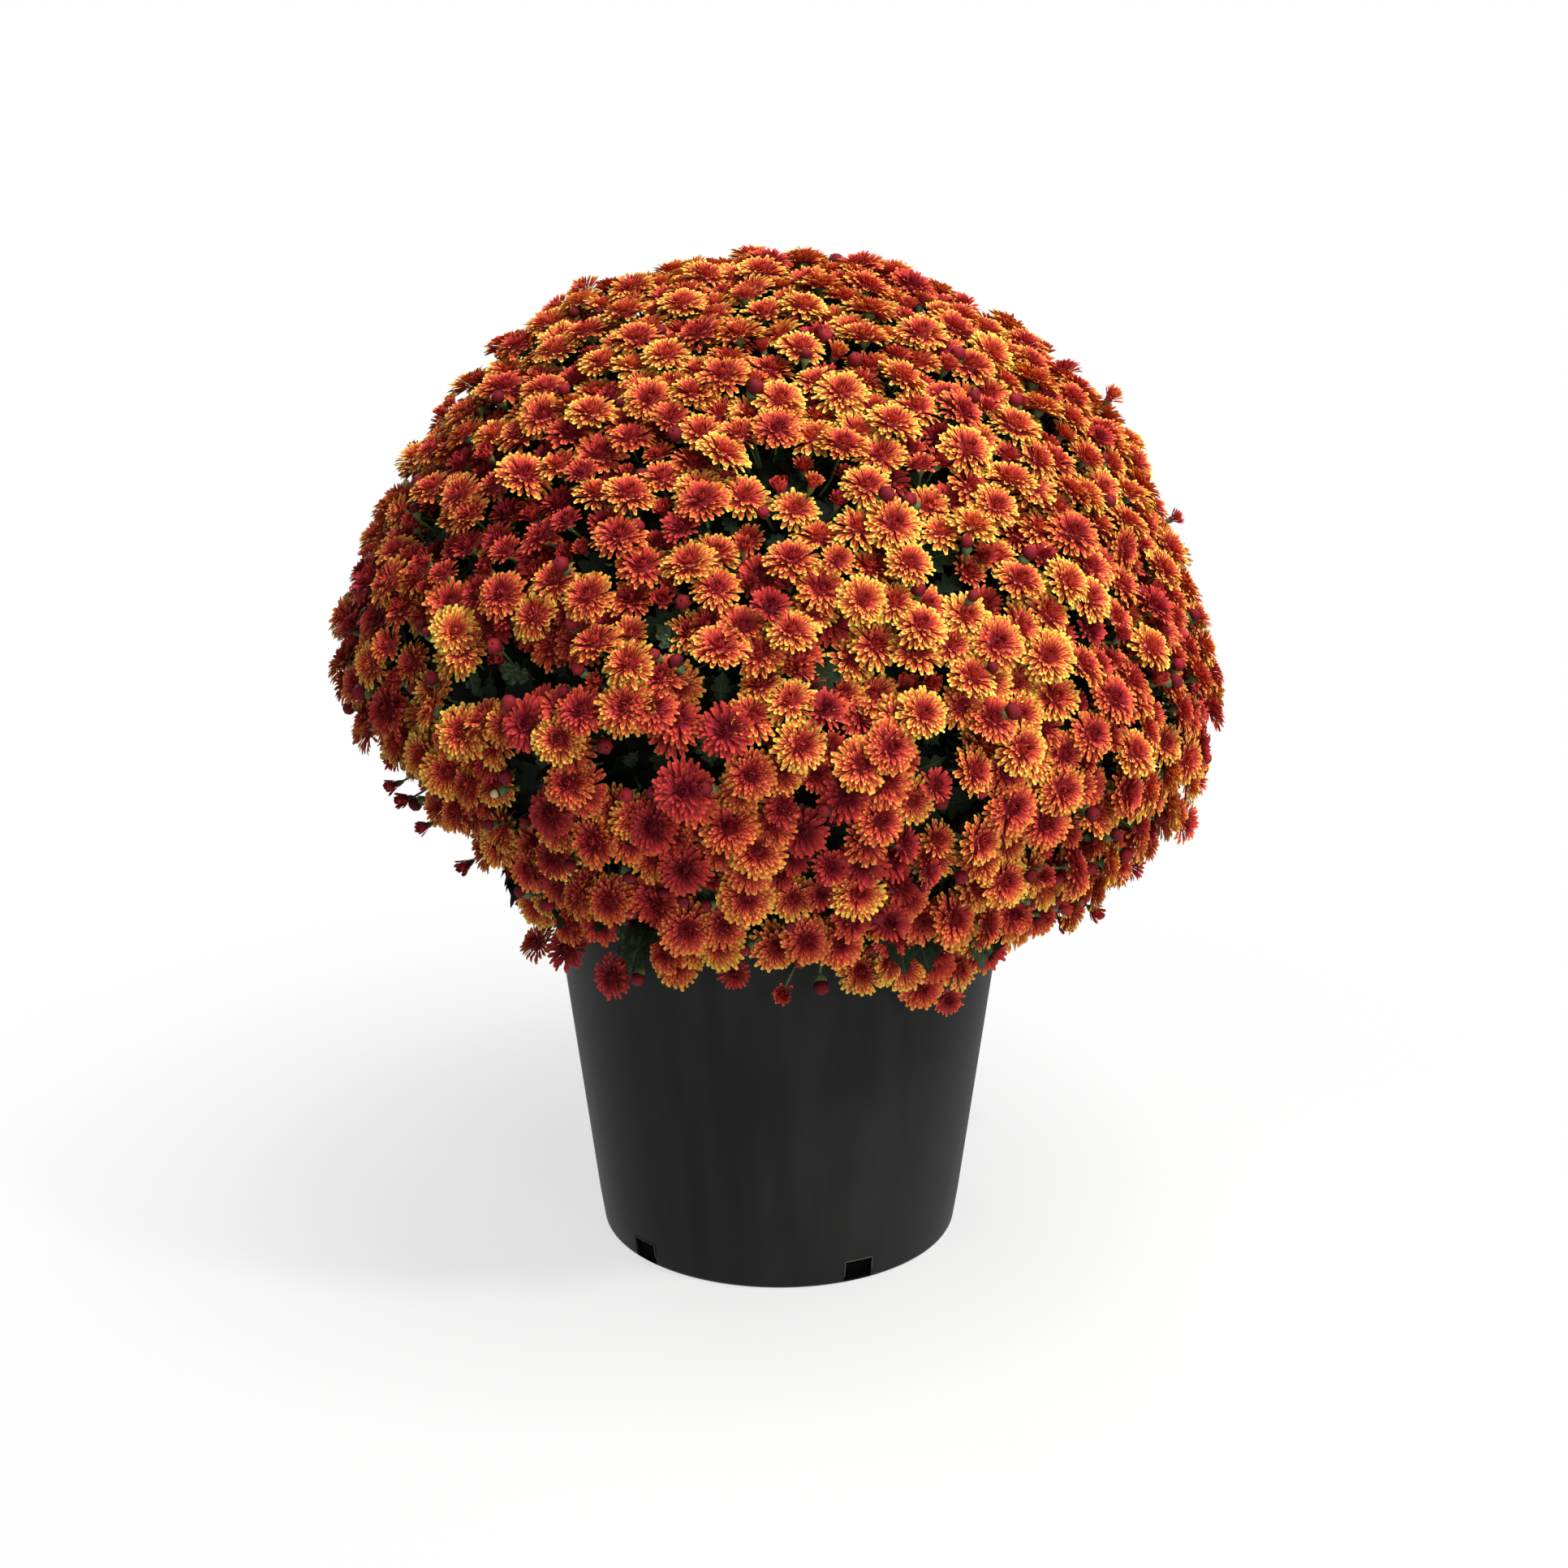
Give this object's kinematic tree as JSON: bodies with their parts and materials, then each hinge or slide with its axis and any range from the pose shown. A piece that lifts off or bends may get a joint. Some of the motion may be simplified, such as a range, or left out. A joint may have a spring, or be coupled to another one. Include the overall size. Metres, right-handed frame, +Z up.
{
  "type": "potted chrysanthemum",
  "caption": "Garden chrysanthemum: a dense dome of small orange and red layered heads over leafy branches, standing in a round tapered black nursery pot.",
  "frame": {"origin": "centre of the pot's flat underside, which rests on the ground", "axes": "+Z up out of the pot, -Y towards the camera of the picture, +X to the picture's right"},
  "size_m": [0.53, 0.5375, 0.6035],
  "materials": {
    "pot": "satin",
    "soil": "matte",
    "leaf": "matte",
    "flower": "matte"
  },
  "bodies": {
    "root": {"pot": "pot", "soil": "soil", "branch_1": "leaf", "branch_2": "leaf", "branch_3": "leaf", "branch_4": "leaf", "branch_5": "leaf", "branch_6": "leaf", "spray_01": "flower", "spray_02": "flower", "spray_03": "flower", "spray_04": "flower", "spray_05": "flower", "spray_06": "flower", "spray_07": "flower", "spray_08": "flower", "spray_09": "flower", "spray_10": "flower", "spray_11": "flower", "spray_12": "flower", "spray_13": "flower", "spray_14": "flower"}
  },
  "joints": []
}
